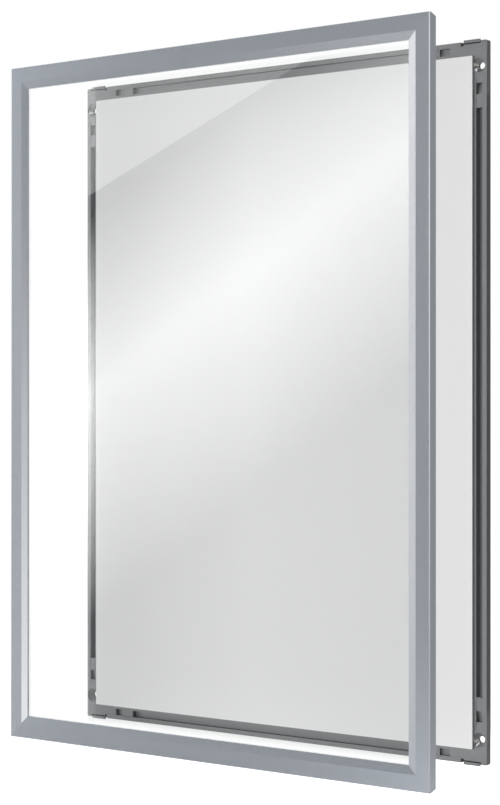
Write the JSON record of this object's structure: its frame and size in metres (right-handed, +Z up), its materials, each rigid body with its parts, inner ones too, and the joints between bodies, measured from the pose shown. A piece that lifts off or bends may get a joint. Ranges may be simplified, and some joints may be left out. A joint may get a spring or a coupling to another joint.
{
  "type": "snap frame",
  "caption": "Wall-mounted poster frame: a mitred aluminium fascia with a clear pane snaps over a grey back frame with a white panel; shown with the fascia pulled off.",
  "frame": {"origin": "centre of the four wall screw holes, on the wall plane at the back frame's rear face", "axes": "+Y into the wall, so the front faces -Y; +X to the viewer's right; +Z up"},
  "size_m": [0.4558, 0.1119, 0.6298],
  "materials": {
    "anodised_aluminium": "satin anodised",
    "zinc_casting": "as cast",
    "steel": "zinc plated",
    "clear_sheet": "clear, polished",
    "grey_moulding": "satin moulded",
    "grey_extrusion": "satin extruded",
    "white_panel": "matt white"
  },
  "bodies": {
    "back": {"back_rail_top": "grey_extrusion", "back_rail_bottom": "grey_extrusion", "back_rail_left": "grey_extrusion", "back_rail_right": "grey_extrusion", "back_corner_top_left": "grey_moulding", "back_corner_top_right": "grey_moulding", "back_corner_bottom_left": "grey_moulding", "back_corner_bottom_right": "grey_moulding", "backing_panel": "white_panel"},
    "fascia": {"fascia_top": "anodised_aluminium", "fascia_bottom": "anodised_aluminium", "fascia_left": "anodised_aluminium", "fascia_right": "anodised_aluminium", "corner_key_top_left": "zinc_casting", "corner_key_top_right": "zinc_casting", "corner_key_bottom_left": "zinc_casting", "corner_key_bottom_right": "zinc_casting", "key_screws": "steel", "clear_pane": "clear_sheet"},
    "tongue_top_left": {"snap_tongue_top_left": "grey_moulding"},
    "tongue_top_right": {"snap_tongue_top_right": "grey_moulding"},
    "tongue_bottom_left": {"snap_tongue_bottom_left": "grey_moulding"},
    "tongue_bottom_right": {"snap_tongue_bottom_right": "grey_moulding"}
  },
  "joints": [
    {"name": "fascia_slide", "type": "slide", "parent": "back", "child": "fascia", "axis": [0, 1, 0], "range_m": [0, 0.099]},
    {"name": "tongue_top_left_bend", "type": "hinge", "parent": "back", "child": "tongue_top_left", "pos_m": [-0.2084, -0.0014, 0.3092], "axis": [1, 0, 0], "range_deg": [0, 9], "stiffness_Nm_per_rad": 0.8},
    {"name": "tongue_top_right_bend", "type": "hinge", "parent": "back", "child": "tongue_top_right", "pos_m": [0.2084, -0.0014, 0.3092], "axis": [1, 0, 0], "range_deg": [0, 9], "stiffness_Nm_per_rad": 0.8},
    {"name": "tongue_bottom_left_bend", "type": "hinge", "parent": "back", "child": "tongue_bottom_left", "pos_m": [-0.2084, -0.0014, -0.3092], "axis": [-1, 0, 0], "range_deg": [0, 9], "stiffness_Nm_per_rad": 0.8},
    {"name": "tongue_bottom_right_bend", "type": "hinge", "parent": "back", "child": "tongue_bottom_right", "pos_m": [0.2084, -0.0014, -0.3092], "axis": [-1, 0, 0], "range_deg": [0, 9], "stiffness_Nm_per_rad": 0.8}
  ]
}
